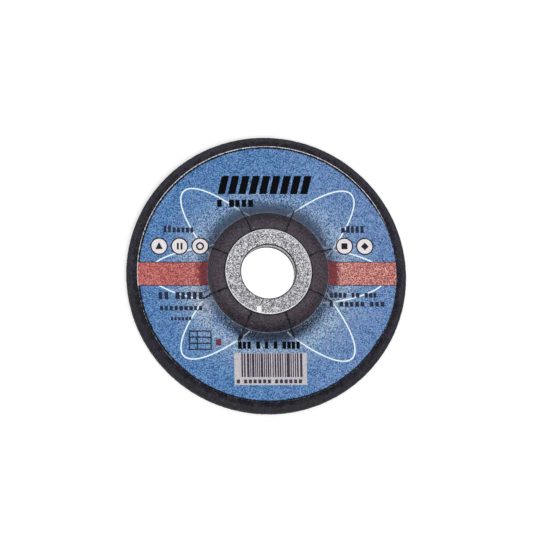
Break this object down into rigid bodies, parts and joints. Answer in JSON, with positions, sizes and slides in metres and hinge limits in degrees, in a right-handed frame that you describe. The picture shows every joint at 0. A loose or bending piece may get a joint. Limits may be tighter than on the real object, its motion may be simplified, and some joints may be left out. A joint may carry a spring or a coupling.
{
  "type": "abrasive disc",
  "caption": "Round depressed-centre grinding disc of bonded grit with a raised hub, a steel-lined centre bore, a slit paper label and a bevelled rim.",
  "frame": {"origin": "on the axis of the bore, in the plane of the flat grinding face that the disc lies on", "axes": "+Z along the axis of the bore, out of the raised side with the label; +Y towards the top of the print"},
  "size_m": [0.115, 0.115, 0.0114],
  "materials": {
    "bonded_grit": "rough, matt",
    "label_paper": "printed, satin",
    "ring_steel": "zinc-plated, mottled"
  },
  "bodies": {
    "root": {"abrasive_body": "bonded_grit", "label": "label_paper", "bore_ring": "ring_steel"}
  },
  "joints": []
}
